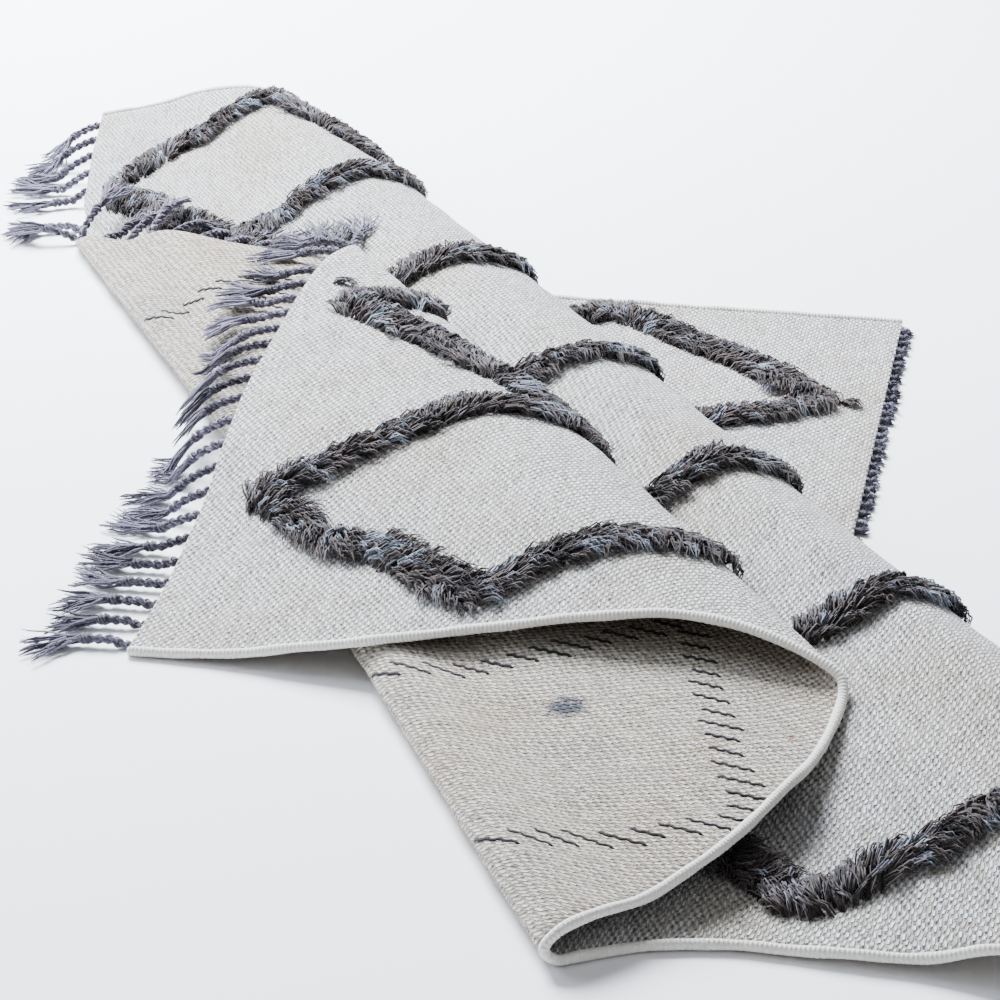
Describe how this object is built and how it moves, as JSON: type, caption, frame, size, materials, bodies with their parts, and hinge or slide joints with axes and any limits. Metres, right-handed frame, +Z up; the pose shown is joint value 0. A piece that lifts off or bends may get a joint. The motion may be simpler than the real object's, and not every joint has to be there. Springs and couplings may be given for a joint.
{
  "type": "folded wool rug",
  "caption": "Hand-woven ivory wool rug with a shaggy diamond trellis and knotted fringe, pulled up into loose folds on the floor.",
  "frame": {"origin": "middle of the underside of the rug's box, on the floor", "axes": "+Z up, +Y along the longest side of the folded rug and away from the viewer, +X to the right"},
  "size_m": [1.1676, 2.0454, 0.1121],
  "materials": {
    "ivory_wool": "coarse hand-spun wool weave with charcoal pile bands",
    "fringe_wool": "plied warp cords, knotted and brushed",
    "stub_wool": "short dark twisted warp ends"
  },
  "bodies": {
    "root": {"rug_cloth": "ivory_wool", "fringe_flap": "fringe_wool", "fringe_roll": "fringe_wool", "fringe_left": "fringe_wool", "stubs_ridge": "stub_wool", "stubs_floor": "stub_wool"}
  },
  "joints": []
}
